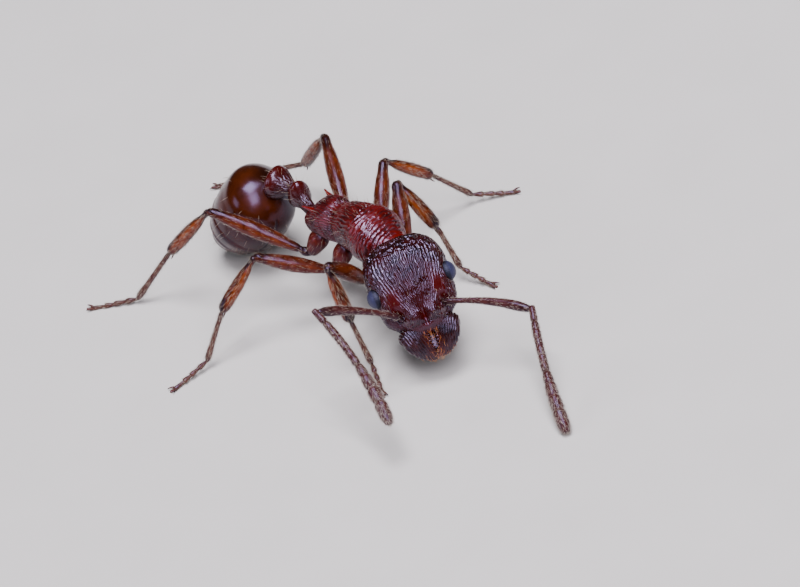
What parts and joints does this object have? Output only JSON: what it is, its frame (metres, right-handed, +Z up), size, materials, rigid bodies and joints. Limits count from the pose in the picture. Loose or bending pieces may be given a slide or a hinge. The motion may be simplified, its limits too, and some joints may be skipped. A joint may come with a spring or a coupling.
{
  "type": "European red ant worker (Myrmica), still model",
  "caption": "Life-size still model of a red ant worker with a ridged head, bent feelers and slender legs, standing with its head turned, for display",
  "frame": {"origin": "on the floor, under the middle of the model's outline", "axes": "-Y is the way the trunk points, +X is the ant's left, +Z is up"},
  "size_m": [0.0048, 0.0072, 0.0015],
  "materials": {
    "head_cuticle": "dark maroon shell with fine ridges, satin",
    "trunk_cuticle": "bright to dark red shell with wavy ridges, glossy",
    "gaster_cuticle": "smooth red-brown shell, high gloss",
    "limb_cuticle": "clear amber to brown shell, glossy",
    "feeler_cuticle": "red-brown shell under short pale hairs, satin",
    "eye_facets": "black facets, glossy"
  },
  "bodies": {
    "root": {"antenna_left_club": "feeler_cuticle", "antenna_left_flagellum": "feeler_cuticle", "antenna_left_pedicel": "feeler_cuticle", "antenna_left_scape": "feeler_cuticle", "antenna_right_club": "feeler_cuticle", "antenna_right_flagellum": "feeler_cuticle", "antenna_right_pedicel": "feeler_cuticle", "antenna_right_scape": "feeler_cuticle", "coxa_front_left": "limb_cuticle", "coxa_front_right": "limb_cuticle", "coxa_hind_left": "limb_cuticle", "coxa_hind_right": "limb_cuticle", "coxa_middle_left": "limb_cuticle", "coxa_middle_right": "limb_cuticle", "eye_left": "eye_facets", "eye_right": "eye_facets", "femur_front_left": "limb_cuticle", "femur_front_right": "limb_cuticle", "femur_hind_left": "limb_cuticle", "femur_hind_right": "limb_cuticle", "femur_middle_left": "limb_cuticle", "femur_middle_right": "limb_cuticle", "foot_front_left": "limb_cuticle", "foot_front_right": "limb_cuticle", "foot_hind_left": "limb_cuticle", "foot_hind_right": "limb_cuticle", "foot_middle_left": "limb_cuticle", "foot_middle_right": "limb_cuticle", "gaster_1": "gaster_cuticle", "gaster_2": "gaster_cuticle", "gaster_3": "gaster_cuticle", "gaster_4": "gaster_cuticle", "head": "head_cuticle", "mandible_left": "head_cuticle", "mandible_right": "head_cuticle", "mesothorax": "trunk_cuticle", "neck": "trunk_cuticle", "petiole": "trunk_cuticle", "postpetiole": "trunk_cuticle", "propodeum": "trunk_cuticle", "prothorax": "trunk_cuticle", "tarsus_front_left": "limb_cuticle", "tarsus_front_right": "limb_cuticle", "tarsus_hind_left": "limb_cuticle", "tarsus_hind_right": "limb_cuticle", "tarsus_middle_left": "limb_cuticle", "tarsus_middle_right": "limb_cuticle", "tibia_front_left": "limb_cuticle", "tibia_front_right": "limb_cuticle", "tibia_hind_left": "limb_cuticle", "tibia_hind_right": "limb_cuticle", "tibia_middle_left": "limb_cuticle", "tibia_middle_right": "limb_cuticle"}
  },
  "joints": []
}
